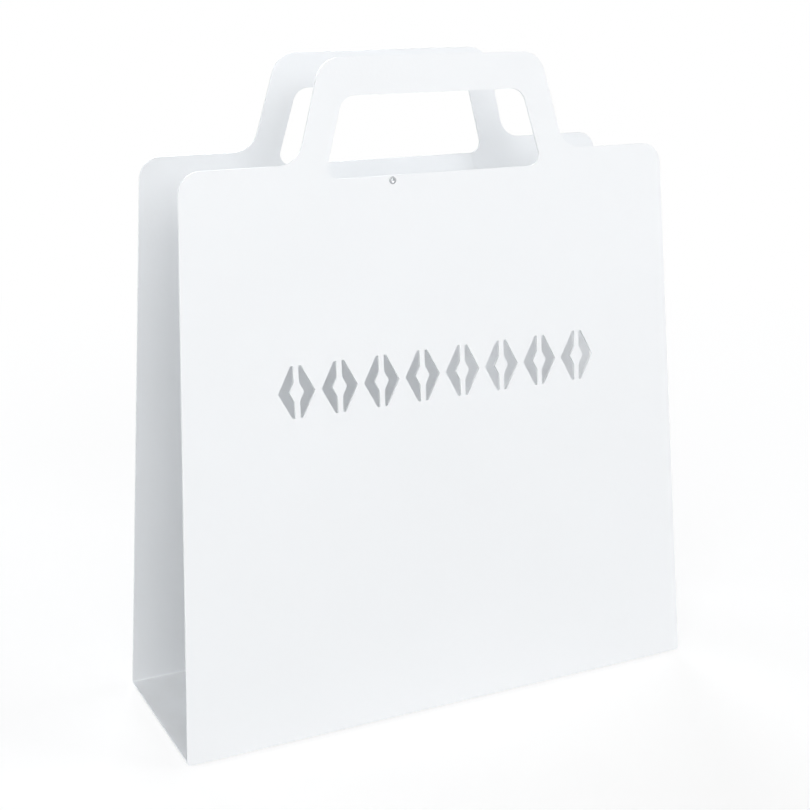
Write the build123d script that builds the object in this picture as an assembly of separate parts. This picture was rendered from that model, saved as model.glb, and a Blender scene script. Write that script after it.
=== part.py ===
from build123d import *
import os
from math import cos, radians, sin, tan

# A free-standing magazine rack made of sheet steel, shaped like a carrier bag.
# Millimetres. +Z is up, X runs across the rack and the front panel faces -Y.
# The origin is on the ground, under the middle of the rack.
# One sheet is folded into the back panel, the floor and a low upstand, and the flat
# front panel is spot-welded to that upstand.

# Sheet steel
sheet = 1.2              # thickness
fold_radius = 0.6        # inner radius of the two folds
fold_land = 1.0          # straight part above each fold, where the taper starts

# Floor
floor_width = 320.0      # at the back, and of both panels at their foot
floor_inset = 1.2        # how far the floor's front corners stay behind the front panel's ends
floor_depth = 110.0      # between the outer faces of the panels, at the underside of the floor
upstand_height = 20.0    # behind the front panel, from the underside of the floor
upstand_inset = 5.0      # how far its top corners stay behind the same ends
upstand_corner = 3.0     # corner radius at the ends of the upstand
front_rise = 1.2         # from the underside of the floor to the front panel's lower edge
front_corner = 2.0       # radius of the front panel's lower corners

# Panels: heights are measured up the leaning panel, from the underside of the floor
panel_lean = 3.7         # degrees that each panel leans in
shoulder_height = 316.0
shoulder_width = 286.0
shoulder_radius = 12.0

# Carrying handle on top of each panel
handle_rise = 53.0       # from the shoulder to the top
handle_foot = 158.6      # width at the shoulder line
handle_angle = 15.8      # degrees that its sides lean in
handle_foot_radius = 14.0
handle_corner = 14.0
leg_width = 16.0
grip_height = 19.4
sill_drop = 8.4          # the hand opening starts this far below the shoulder line
opening_sill_radius = 6.0
opening_top_radius = 9.0

# Row of pierced lozenges across the front panel, which cuts off their tips
band_height = 28.5
band_drop = 95.4         # from the hand opening's sill to the top of the row
band_margin = 46.0       # from each end of the row to the shoulder's side
lozenge_count = 8
lozenge_gap = 3.6
lozenge_height = 40.0    # from tip to tip
lozenge_stroke = 5.6
bridge = 3.0             # web that holds the lozenge's island, above and below
cut_corner = 0.5         # corner radius of the cut-outs

# Eyelet for a tag, just under the front hand opening
eyelet_flange = 4.0      # diameter
eyelet_barrel = 2.8      # diameter
eyelet_bore = 2.0        # diameter
eyelet_lip = 0.35        # thickness of the flange and of the rolled end
eyelet_clearance = 0.05  # round the barrel
eyelet_side = 26.4       # from the panel's centre line
eyelet_drop = 2.6        # from the opening's sill to the eyelet's axis

# Self-adhesive pads under the floor
pad_diameter = 14.0
pad_thickness = 1.0
pad_round = 0.3
pad_inset_x = 18.0       # from the floor's end to the pad's centre
pad_inset_y = 16.0       # from the panel's foot to the pad's centre

# Spot welds of the upstand and the front panel, seen as shallow marks inside the rack
weld_depth = 0.12
weld_diameter = 5.0
weld_count = 6
weld_inset = 30.0        # from the floor's end to the outermost weld

# Worked out from the sizes above
top_height = shoulder_height + handle_rise
sill_height = shoulder_height - sill_drop
floor_bottom = pad_thickness
corner_angle = 90.0 - panel_lean
lean_up = (sin(radians(panel_lean)), cos(radians(panel_lean)))
lean_out = (cos(radians(panel_lean)), sin(radians(panel_lean)))
upstand_setback = sheet / lean_up[1]
floor_front_end = floor_width / 2 - floor_inset


def tangent_length(radius):
    """From the sharp corner between floor and panel to where a fold of this radius starts."""
    return radius / tan(radians(corner_angle / 2))


def panel_plane(depth=0.0):
    """The front panel's outer face, or a plane that lies so deep behind it.

    Its local Y runs up the panel, from the underside of the floor.
    """
    return Plane(
        origin=(0, depth / lean_up[1] - floor_depth / 2, floor_bottom),
        x_dir=(1, 0, 0),
        z_dir=(0, -lean_out[0], lean_out[1]),
    )


def handle_half_width(height):
    return handle_foot / 2 - (height - shoulder_height) * tan(radians(handle_angle))


def opening_half_width(height):
    return handle_half_width(height) - leg_width / cos(radians(handle_angle))


def panel_outline(start):
    """A panel with its shoulders and handle, from this height upwards."""
    right = [
        (floor_width / 2, start),
        (shoulder_width / 2, shoulder_height),
        (handle_half_width(shoulder_height), shoulder_height),
        (handle_half_width(top_height), top_height),
    ]
    left = [(-x, y) for x, y in reversed(right)]
    outline = Polygon(*right, *left, align=None)
    rounded = (
        (shoulder_height, shoulder_width / 2, shoulder_radius),
        (shoulder_height, handle_half_width(shoulder_height), handle_foot_radius),
        (top_height, handle_half_width(top_height), handle_corner),
    )
    for height, half_width, radius in rounded:
        corners = [
            v
            for v in outline.vertices()
            if abs(v.Y - height) < 0.01 and abs(abs(v.X) - half_width) < 0.01
        ]
        outline = fillet(corners, radius)
    return outline


def hand_opening():
    head = top_height - grip_height
    right = [
        (opening_half_width(sill_height), sill_height),
        (opening_half_width(head), head),
    ]
    left = [(-x, y) for x, y in reversed(right)]
    opening = Polygon(*right, *left, align=None)
    opening = fillet(opening.vertices().group_by(Axis.Y)[0], opening_sill_radius)
    return fillet(opening.vertices().group_by(Axis.Y)[-1], opening_top_radius)


def lozenge(half_width, half_height):
    points = [(half_width, 0), (0, half_height), (-half_width, 0), (0, -half_height)]
    return Polygon(*points, align=None)


def pierced_band():
    """A row of lozenge rings, each round an island that two bridges hold."""
    band_width = shoulder_width - 2 * band_margin
    pitch = (band_width + lozenge_gap) / lozenge_count
    half_width = (pitch - lozenge_gap) / 2
    half_height = lozenge_height / 2
    side_distance = half_width * half_height / (half_width**2 + half_height**2) ** 0.5
    island = 1 - lozenge_stroke / side_distance
    ring = lozenge(half_width, half_height)
    ring -= lozenge(half_width * island, half_height * island)
    ring -= Rectangle(bridge, lozenge_height)
    ring &= Rectangle(2 * half_width, band_height)
    ring = fillet(ring.vertices(), cut_corner)
    middle = sill_height - band_drop - band_height / 2
    first = -(lozenge_count - 1) / 2
    places = [Pos((first + i) * pitch, middle) for i in range(lozenge_count)]
    return [place * ring for place in places]


def up_a_panel(corner, distance):
    """The point this far up a leaning sheet, from a corner of the section in Y and Z."""
    inwards = 1 if corner[0] < 0 else -1
    return (corner[0] + inwards * distance * lean_up[0], corner[1] + distance * lean_up[1])


def floor_plan():
    """The floor with its folds, seen from above: narrower along the front panel."""
    fold = tangent_length(fold_radius + sheet)
    right = [
        (floor_front_end, -floor_depth / 2),
        (floor_front_end, upstand_setback + fold - floor_depth / 2),
        (floor_width / 2, floor_depth / 2 - fold),
        (floor_width / 2, floor_depth / 2),
    ]
    left = [(-x, y) for x, y in reversed(right)]
    return Polygon(*right, *left, align=None)


def floor_strip(leg):
    """Floor and both folds, bent along the middle of the sheet's thickness.

    leg is how far the strip goes up, on each side, from the underside of the floor.
    """
    to_middle = tangent_length(sheet / 2)
    middle_height = floor_bottom + sheet / 2
    front_bend = (upstand_setback + to_middle - floor_depth / 2, middle_height)
    back_bend = (floor_depth / 2 - to_middle, middle_height)
    bends = FilletPolyline(
        up_a_panel(front_bend, leg - to_middle),
        front_bend,
        back_bend,
        up_a_panel(back_bend, leg - to_middle),
        radius=fold_radius + sheet / 2,
    )
    section = trace(bends, sheet)
    strip = extrude(Plane.YZ * section, floor_width / 2, both=True)
    return strip & extrude(floor_plan(), floor_bottom + 2 * leg)


def upstand(start):
    """A low wall behind the front panel, from this height upwards, with its ends cut back."""
    right = [(floor_front_end, start), (floor_width / 2 - upstand_inset, upstand_height)]
    left = [(-x, y) for x, y in reversed(right)]
    wall = Polygon(*right, *left, align=None)
    wall = fillet(wall.vertices().group_by(Axis.Y)[-1], upstand_corner)
    return extrude(panel_plane(sheet) * wall, -sheet)


def weld_marks():
    """Discs that the electrode's flat tip leaves as marks in the upstand's inner face."""
    inner_face = panel_plane(2 * sheet)
    reach = floor_width / 2 - weld_inset
    step = 2 * reach / (weld_count - 1)
    row = (upstand_height + tangent_length(fold_radius + sheet)) / 2
    tip = Cylinder(weld_diameter / 2, 2 * weld_depth)
    return [inner_face * Pos(-reach + i * step, row) * tip for i in range(weld_count)]


def eyelet_place():
    """Where the eyelet sits on the front panel's outer face."""
    return Pos(-eyelet_side, sill_height - eyelet_drop)


def front_panel():
    """A flat sheet that stands just clear of the ground, against the upstand."""
    outline = panel_outline(front_rise)
    outline = fillet(outline.vertices().group_by(Axis.Y)[0], front_corner)
    face = outline - hand_opening()
    face -= eyelet_place() * Circle(eyelet_barrel / 2 + eyelet_clearance)
    for ring in pierced_band():
        face -= ring
    return extrude(panel_plane() * face, -sheet)


def back_and_floor():
    """The folded sheet: back panel, floor and upstand."""
    leg = tangent_length(fold_radius + sheet) + fold_land
    face = panel_outline(leg) - hand_opening()
    back = extrude(panel_plane() * face, -sheet).mirror(Plane.XZ)
    steel = (back + floor_strip(leg) + upstand(leg)).clean()
    for mark in weld_marks():
        steel -= mark
    return steel


def tag_eyelet():
    """A hollow rivet: flange outside, barrel through the panel, rolled end inside."""
    flange = Cylinder(eyelet_flange / 2, eyelet_lip, align=(Align.CENTER, Align.CENTER, Align.MIN))
    flange = fillet(flange.edges().group_by(Axis.Z)[-1], eyelet_lip * 0.8)
    rolled = flange.mirror(Plane.XY).moved(Pos(0, 0, -sheet))
    barrel = Pos(0, 0, -sheet / 2) * Cylinder(eyelet_barrel / 2, sheet + eyelet_lip)
    bore = Pos(0, 0, -sheet / 2) * Cylinder(eyelet_bore / 2, sheet + 3 * eyelet_lip)
    rivet = flange + barrel + rolled - bore
    return panel_plane() * eyelet_place() * rivet


def pad():
    disc = Cylinder(pad_diameter / 2, pad_thickness, align=(Align.CENTER, Align.CENTER, Align.MIN))
    return fillet(disc.edges().group_by(Axis.Z)[0], pad_round)


def pads():
    x = floor_width / 2 - pad_inset_x
    y = floor_depth / 2 - pad_inset_y
    return {
        "pad_front_left": Pos(-x, -y) * pad(),
        "pad_front_right": Pos(x, -y) * pad(),
        "pad_back_left": Pos(-x, y) * pad(),
        "pad_back_right": Pos(x, y) * pad(),
    }


nodes = {
    "front_panel": front_panel(),
    "back_and_floor": back_and_floor(),
    "tag_eyelet": tag_eyelet(),
    **pads(),
}

os.makedirs("parts", exist_ok=True)
for name, solid in nodes.items():
    export_step(solid, f"parts/{name}.step")
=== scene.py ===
from math import radians

import bpy
from mathutils import Matrix

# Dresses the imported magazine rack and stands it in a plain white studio. Every shape is
# the frame's own. Only the cut edges of the two steel sheets are rounded a little.

# Camera, in metres and degrees. Its heading is measured from +Y towards +X.
CAMERA_AT = (-0.35109, -0.72670, 0.40841)
CAMERA_HEADING = 25.589
CAMERA_DOWN = 16.534
CAMERA_ROLL = -0.337
CAMERA_LENS = 64.181
CAMERA_SENSOR = 36.0
CAMERA_CLIPS = (0.01, 100.0)

# Softening that the coating gives to the cut edges: widths in metres, angle in degrees
EDGE_ROUND = 0.0003
EDGE_SEGMENTS = 2
EDGE_ANGLE = 40
WELD_DISTANCE = 0.000002

# Noises, each with its scale in cells per metre, its detail and its roughness
TONE_DRIFT = (9.0, 3.0, 0.5)
RIM_WEAR = (160.0, 3.0, 0.5)
SETTLED_DUST = (90.0, 5.0, 0.6)
GLOSS_DRIFT = (60.0, 2.0, 0.5)
HAND_MARKS = (38.0, 3.0, 0.5)
SCUFF_LINES = (1.0, 1.0, 0.5)
ORANGE_PEEL = (420.0, 2.0, 0.45)
FINE_GRAIN = (2600.0, 1.0, 0.5)
COAT_NIBS = (700.0, 0.0, 0.5)
TURNING_MARKS = (5200.0, 2.0, 0.5)
PAD_DUST = (320.0, 4.0, 0.6)
PAD_GRAIN = (3000.0, 2.0, 0.5)

# From where each noise starts to show, to where it shows fully
WEAR_SPAN = (0.5, 0.75)
DUST_SPAN = (0.4, 0.7)
HAND_SPAN = (0.35, 0.65)
SCUFF_SPAN = (0.66, 0.72)
NIB_SPAN = (0.80, 0.84)
GLOSS_SPAN = (0.3, 0.7)

# Bumps, each with its strength and its height in metres
PEEL_BUMP = (0.10, 0.0004)
GRAIN_BUMP = (0.06, 0.0001)
NIB_BUMP = (0.35, 0.00005)
TURNING_BUMP = (0.15, 0.00005)
PAD_BUMP = (0.3, 0.0001)

# Powder coat: it drifts between two whites, is greyer on worn rims and dusty where it
# faces up. Hands polish it on the grips, and magazines leave long scuffs, nearly level.
DRIFT_LOW = (0.869, 0.885, 0.900)
DRIFT_HIGH = (0.895, 0.911, 0.928)
THIN_COAT = (0.74, 0.75, 0.76)
DUST = (0.80, 0.79, 0.77)
COAT_IOR = 1.5
COAT_ROUGHNESS = (0.42, 0.50)
RIM_WIDTH = 0.0005  # metres
RIM_SAMPLES = 4
RIM_AGREEMENT = 0.8  # cosine between the two normals at which a rim counts fully
MOST_WEAR = 0.5  # share of the thin coat's colour
MOST_DUST = 0.15  # share of the dust's colour
DUST_ROUGHNESS = 0.2  # added by a full cover of dust
MOST_POLISH = 0.07  # taken off the roughness
MOST_SCUFF = 0.10  # added to the roughness
SCUFF_STRETCH = (14.0, 900.0, 900.0)  # cells per metre along each axis
SCUFF_TURN = 12.0  # degrees from level
GRIP_FADE = (0.335, 0.355)  # metres above the ground
UPWARD_FADE = (0.5, 0.9)  # upward share of the normal

# Nickel of the eyelet, and rubber of the pads
NICKEL_DARK = (0.34, 0.35, 0.36)
NICKEL_LIGHT = (0.46, 0.47, 0.49)
NICKEL_ROUGHNESS = (0.28, 0.42)
RUBBER_DARK = (0.50, 0.51, 0.52)
RUBBER_LIGHT = (0.66, 0.67, 0.68)
RUBBER_ROUGHNESS = (0.62, 0.8)

# The floor's own colour, which throws light back at the rack
STUDIO_WHITE = (0.90, 0.90, 0.90)
FLOOR_RADIUS = 12.0

# How the eye sees the floor: a white glow with a faint share of the light and shade that
# falls on it. Further out, between these two distances in metres, it turns plain white.
FLOOR_GLOW = 0.72
FLOOR_SHADE = (0.35, 0.35, 0.35)
SHADE_ENDS = (0.5, 1.2)

# Softboxes, all at one distance from the rack's middle. Headings are measured from the
# rack's front towards +X, heights upwards, both in degrees; power is in watts.
RACK_MIDDLE = (0.0, 0.0, 0.18)
SOFTBOX_DISTANCE = 8.0
SOFTBOX_SIZE = 4.0
WHITE_LIGHT = (1.0, 1.0, 1.0)
COOL_LIGHT = (0.965, 1.0, 1.035)
SOFTBOXES = (
    ("front_softbox", 0, 20, 192.0, WHITE_LIGHT),
    ("front_right_softbox", 60, 20, 240.0, WHITE_LIGHT),
    ("front_left_softbox", -60, 20, 60.0, WHITE_LIGHT),
    ("high_softbox", -35, 42, 185.0, WHITE_LIGHT),
    ("left_softbox", -90, 10, 150.0, WHITE_LIGHT),
    ("back_left_softbox", -140, 35, 122.0, COOL_LIGHT),
    ("back_softbox", 170, 20, 398.0, COOL_LIGHT),
)

# Sockets of the Mix node when it mixes colours, because their names aren't unique
MIX_FACTOR = 0
MIX_COLOURS = (6, 7)
MIX_RESULT = 2


def add_node(tree, kind, inputs=None, **settings):
    """Adds a shader node. Each input is a value or the socket that feeds it."""
    node = tree.nodes.new(kind)
    for name, value in settings.items():
        setattr(node, name, value)
    for name, value in (inputs or {}).items():
        if isinstance(value, bpy.types.NodeSocket):
            tree.links.new(value, node.inputs[name])
        else:
            node.inputs[name].default_value = value
    return node


def new_material(name):
    """An empty node material, with the tree to fill and its output node."""
    material = bpy.data.materials.new(name)
    material.use_nodes = True
    tree = material.node_tree
    tree.nodes.clear()
    output = add_node(tree, "ShaderNodeOutputMaterial")
    return material, tree, output


def object_coordinates(tree):
    return add_node(tree, "ShaderNodeTexCoord").outputs["Object"]


def noise(tree, vector, kind):
    """One of the noises above, as a value from 0 to 1."""
    scale, detail, roughness = kind
    texture = add_node(
        tree,
        "ShaderNodeTexNoise",
        {"Vector": vector, "Scale": scale, "Detail": detail, "Roughness": roughness},
    )
    return texture.outputs["Fac"]


def stretched(tree, vector, scale, turn):
    """Coordinates that are scaled differently along each axis, for long marks."""
    mapping = add_node(
        tree,
        "ShaderNodeMapping",
        {"Vector": vector, "Rotation": (0.0, radians(turn), 0.0), "Scale": scale},
    )
    return mapping.outputs[0]


def map_range(tree, value, low, high, to_low, to_high):
    """Carries a value over from one range to another, without going past its ends."""
    node = add_node(
        tree,
        "ShaderNodeMapRange",
        {"Value": value, "From Min": low, "From Max": high, "To Min": to_low, "To Max": to_high},
    )
    return node.outputs["Result"]


def maths(tree, operation, first, second):
    node = add_node(tree, "ShaderNodeMath", {0: first, 1: second}, operation=operation)
    return node.outputs[0]


def vector_maths(tree, operation, inputs):
    node = add_node(tree, "ShaderNodeVectorMath", inputs, operation=operation)
    return node.outputs["Value"]


def mix_colours(tree, factor, first, second):
    """Blends two colours, each a plain colour or a socket."""
    node = add_node(tree, "ShaderNodeMix", data_type="RGBA")
    tree.links.new(factor, node.inputs[MIX_FACTOR])
    for index, colour in zip(MIX_COLOURS, (first, second)):
        if isinstance(colour, bpy.types.NodeSocket):
            tree.links.new(colour, node.inputs[index])
        else:
            node.inputs[index].default_value = (*colour, 1.0)
    return node.outputs[MIX_RESULT]


def bump(tree, height, kind, normal=None):
    """Raises the surface by one of the bumps above, on top of an earlier one."""
    strength, distance = kind
    inputs = {"Height": height, "Strength": strength, "Distance": distance}
    if normal is not None:
        inputs["Normal"] = normal
    return add_node(tree, "ShaderNodeBump", inputs).outputs["Normal"]


def finish_surface(tree, output, inputs):
    """Sends the inputs to the surface's shader, and the shader to the output."""
    shader = add_node(tree, "ShaderNodeBsdfPrincipled", inputs)
    tree.links.new(shader.outputs[0], output.inputs["Surface"])


def near_edges(tree, width):
    """1 on the rims of the cut edges, where a rounded normal departs from the real one."""
    rounded = add_node(tree, "ShaderNodeBevel", {"Radius": width}, samples=RIM_SAMPLES)
    real = add_node(tree, "ShaderNodeNewGeometry").outputs["Normal"]
    agreement = vector_maths(tree, "DOT_PRODUCT", {0: rounded.outputs[0], 1: real})
    return map_range(tree, agreement, 1.0, RIM_AGREEMENT, 0.0, 1.0)


def facing_up(tree):
    """1 on the floor and on the upper edges, 0 on the leaning panels."""
    normal = add_node(tree, "ShaderNodeNewGeometry").outputs["Normal"]
    height = add_node(tree, "ShaderNodeSeparateXYZ", {"Vector": normal}).outputs["Z"]
    return map_range(tree, height, *UPWARD_FADE, 0.0, 1.0)


def at_the_grips(tree, place):
    """1 on the grips, fading out down the handles' legs."""
    height = add_node(tree, "ShaderNodeSeparateXYZ", {"Vector": place}).outputs["Z"]
    return map_range(tree, height, *GRIP_FADE, 0.0, 1.0)


def powder_coat_tone(tree, place, settled):
    """White that drifts a little, greyer on worn rims and warmer under the settled dust."""
    drift = noise(tree, place, TONE_DRIFT)
    tone = mix_colours(tree, drift, DRIFT_LOW, DRIFT_HIGH)
    wear = map_range(tree, noise(tree, place, RIM_WEAR), *WEAR_SPAN, 0.0, MOST_WEAR)
    worn = maths(tree, "MULTIPLY", near_edges(tree, RIM_WIDTH), wear)
    tone = mix_colours(tree, worn, tone, THIN_COAT)
    return mix_colours(tree, settled, tone, DUST)


def powder_coat_roughness(tree, place, settled):
    """Satin that hands have polished on the grips, and that scuffs and dust make dull."""
    gloss = map_range(tree, noise(tree, place, GLOSS_DRIFT), *GLOSS_SPAN, *COAT_ROUGHNESS)
    hands = map_range(tree, noise(tree, place, HAND_MARKS), *HAND_SPAN, 0.0, MOST_POLISH)
    polish = maths(tree, "MULTIPLY", hands, at_the_grips(tree, place))
    gloss = maths(tree, "SUBTRACT", gloss, polish)
    lines = noise(tree, stretched(tree, place, SCUFF_STRETCH, SCUFF_TURN), SCUFF_LINES)
    scuffs = map_range(tree, lines, *SCUFF_SPAN, 0.0, MOST_SCUFF)
    gloss = maths(tree, "ADD", gloss, scuffs)
    return maths(tree, "ADD", gloss, maths(tree, "MULTIPLY", settled, DUST_ROUGHNESS))


def powder_coat_relief(tree, place):
    """Orange peel, a fine grain and a few nibs of dust under the coat."""
    nibs = map_range(tree, noise(tree, place, COAT_NIBS), *NIB_SPAN, 0.0, 1.0)
    surface = bump(tree, noise(tree, place, ORANGE_PEEL), PEEL_BUMP)
    surface = bump(tree, noise(tree, place, FINE_GRAIN), GRAIN_BUMP, surface)
    return bump(tree, nibs, NIB_BUMP, surface)


def powder_coat():
    """Satin white powder coat with the few marks of a rack that has hardly been used."""
    material, tree, output = new_material("white_powder_coat")
    place = object_coordinates(tree)
    dust = map_range(tree, noise(tree, place, SETTLED_DUST), *DUST_SPAN, 0.0, MOST_DUST)
    settled = maths(tree, "MULTIPLY", dust, facing_up(tree))
    surface = {
        "Base Color": powder_coat_tone(tree, place, settled),
        "Roughness": powder_coat_roughness(tree, place, settled),
        "Normal": powder_coat_relief(tree, place),
        "IOR": COAT_IOR,
    }
    finish_surface(tree, output, surface)
    return material


def eyelet_metal():
    """Plain nickel with fine turning marks."""
    material, tree, output = new_material("nickel_eyelet")
    marks = noise(tree, object_coordinates(tree), TURNING_MARKS)
    surface = {
        "Base Color": mix_colours(tree, marks, NICKEL_DARK, NICKEL_LIGHT),
        "Metallic": 1.0,
        "Roughness": map_range(tree, marks, *GLOSS_SPAN, *NICKEL_ROUGHNESS),
        "Normal": bump(tree, marks, TURNING_BUMP),
    }
    finish_surface(tree, output, surface)
    return material


def pad_rubber():
    """Soft grey rubber with a moulded grain and a little dust."""
    material, tree, output = new_material("grey_pad_rubber")
    place = object_coordinates(tree)
    dust = noise(tree, place, PAD_DUST)
    surface = {
        "Base Color": mix_colours(tree, dust, RUBBER_DARK, RUBBER_LIGHT),
        "Roughness": map_range(tree, dust, *GLOSS_SPAN, *RUBBER_ROUGHNESS),
        "Normal": bump(tree, noise(tree, place, PAD_GRAIN), PAD_BUMP),
    }
    finish_surface(tree, output, surface)
    return material


def soften_edges(piece):
    """Joins the imported faces and rounds the cut edges, as the coating does."""
    weld = piece.modifiers.new("join_faces", "WELD")
    weld.merge_threshold = WELD_DISTANCE
    round_edges = piece.modifiers.new("coated_edges", "BEVEL")
    round_edges.width = EDGE_ROUND
    round_edges.segments = EDGE_SEGMENTS
    round_edges.limit_method = "ANGLE"
    round_edges.angle_limit = radians(EDGE_ANGLE)
    round_edges.harden_normals = True


def dress_the_rack(nodes):
    """Gives every CAD node its material, and the two steel pieces their soft edges."""
    coat = powder_coat()
    metal = eyelet_metal()
    rubber = pad_rubber()
    for name, piece in nodes.items():
        if name.startswith("pad_"):
            material = rubber
        elif name == "tag_eyelet":
            material = metal
        else:
            material = coat
            soften_edges(piece)
        for slot in piece.material_slots:
            slot.material = material


def seen_by_eye(tree):
    """1 for rays from the camera and for those that reach it by way of metal or glass."""
    path = add_node(tree, "ShaderNodeLightPath")
    seen = path.outputs["Is Camera Ray"]
    for ray in ("Is Glossy Ray", "Is Transmission Ray"):
        seen = maths(tree, "MAXIMUM", seen, path.outputs[ray])
    return seen


def floor_material():
    """Plain paper for the light in the room, and a white glow with faint shade for the eye."""
    material, tree, output = new_material("studio_floor")
    paper = add_node(tree, "ShaderNodeBsdfDiffuse", {"Color": (*STUDIO_WHITE, 1.0)})
    shade = add_node(tree, "ShaderNodeBsdfDiffuse", {"Color": (*FLOOR_SHADE, 1.0)})
    glow = add_node(tree, "ShaderNodeEmission", {"Strength": FLOOR_GLOW})
    near = add_node(tree, "ShaderNodeAddShader", {0: shade.outputs[0], 1: glow.outputs[0]})
    plain = add_node(tree, "ShaderNodeEmission", {"Strength": 1.0})
    distance = vector_maths(tree, "LENGTH", {0: object_coordinates(tree)})
    far = map_range(tree, distance, *SHADE_ENDS, 0.0, 1.0)
    sight = add_node(
        tree, "ShaderNodeMixShader", {0: far, 1: near.outputs[0], 2: plain.outputs[0]}
    )
    surface = add_node(
        tree,
        "ShaderNodeMixShader",
        {0: seen_by_eye(tree), 1: paper.outputs[0], 2: sight.outputs[0]},
    )
    tree.links.new(surface.outputs[0], output.inputs["Surface"])
    return material


def studio_floor():
    """A pale floor that keeps the rack's shadow and is plain white further out."""
    mesh = bpy.data.meshes.new("studio_floor")
    r = FLOOR_RADIUS
    mesh.from_pydata([(-r, -r, 0), (r, -r, 0), (r, r, 0), (-r, r, 0)], [], [(0, 1, 2, 3)])
    mesh.materials.append(floor_material())
    floor = bpy.data.objects.new("studio_floor", mesh)
    bpy.context.scene.collection.objects.link(floor)


def studio_world():
    """White where the eye sees it, and no light on the rack, which the softboxes give."""
    world = bpy.data.worlds.new("studio")
    world.use_nodes = True
    tree = world.node_tree
    tree.nodes.clear()
    backdrop = add_node(
        tree,
        "ShaderNodeBackground",
        {"Color": (1.0, 1.0, 1.0, 1.0), "Strength": seen_by_eye(tree)},
    )
    add_node(tree, "ShaderNodeOutputWorld", {"Surface": backdrop.outputs[0]})
    bpy.context.scene.world = world


def softbox(name, heading, height, power, colour):
    """A square lamp that looks at the rack's middle from this heading and height."""
    data = bpy.data.lights.new(name, "AREA")
    data.shape = "SQUARE"
    data.size = SOFTBOX_SIZE
    data.energy = power
    data.color = colour
    turn = Matrix.Rotation(radians(heading), 4, "Z")
    tilt = Matrix.Rotation(radians(90 - height), 4, "X")
    back_off = Matrix.Translation((0.0, 0.0, SOFTBOX_DISTANCE))
    lamp = bpy.data.objects.new(name, data)
    lamp.matrix_world = Matrix.Translation(RACK_MIDDLE) @ turn @ tilt @ back_off
    bpy.context.scene.collection.objects.link(lamp)


def studio_camera():
    data = bpy.data.cameras.new("camera")
    data.lens = CAMERA_LENS
    data.sensor_width = CAMERA_SENSOR
    data.clip_start, data.clip_end = CAMERA_CLIPS
    camera = bpy.data.objects.new("camera", data)
    turn = Matrix.Rotation(radians(-CAMERA_HEADING), 4, "Z")
    tilt = Matrix.Rotation(radians(90 - CAMERA_DOWN), 4, "X")
    roll = Matrix.Rotation(radians(CAMERA_ROLL), 4, "Z")
    camera.matrix_world = Matrix.Translation(CAMERA_AT) @ turn @ tilt @ roll
    bpy.context.scene.collection.objects.link(camera)
    bpy.context.scene.camera = camera


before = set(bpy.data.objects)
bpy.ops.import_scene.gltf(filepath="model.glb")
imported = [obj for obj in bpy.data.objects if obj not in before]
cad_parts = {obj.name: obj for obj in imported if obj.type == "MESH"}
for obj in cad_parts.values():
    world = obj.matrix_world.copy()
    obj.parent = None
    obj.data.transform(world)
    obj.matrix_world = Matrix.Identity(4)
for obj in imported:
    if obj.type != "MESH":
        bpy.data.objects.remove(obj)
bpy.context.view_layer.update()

dress_the_rack(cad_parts)
studio_floor()
studio_world()
for placed in SOFTBOXES:
    softbox(*placed)
studio_camera()
bpy.context.scene.view_settings.view_transform = "Standard"
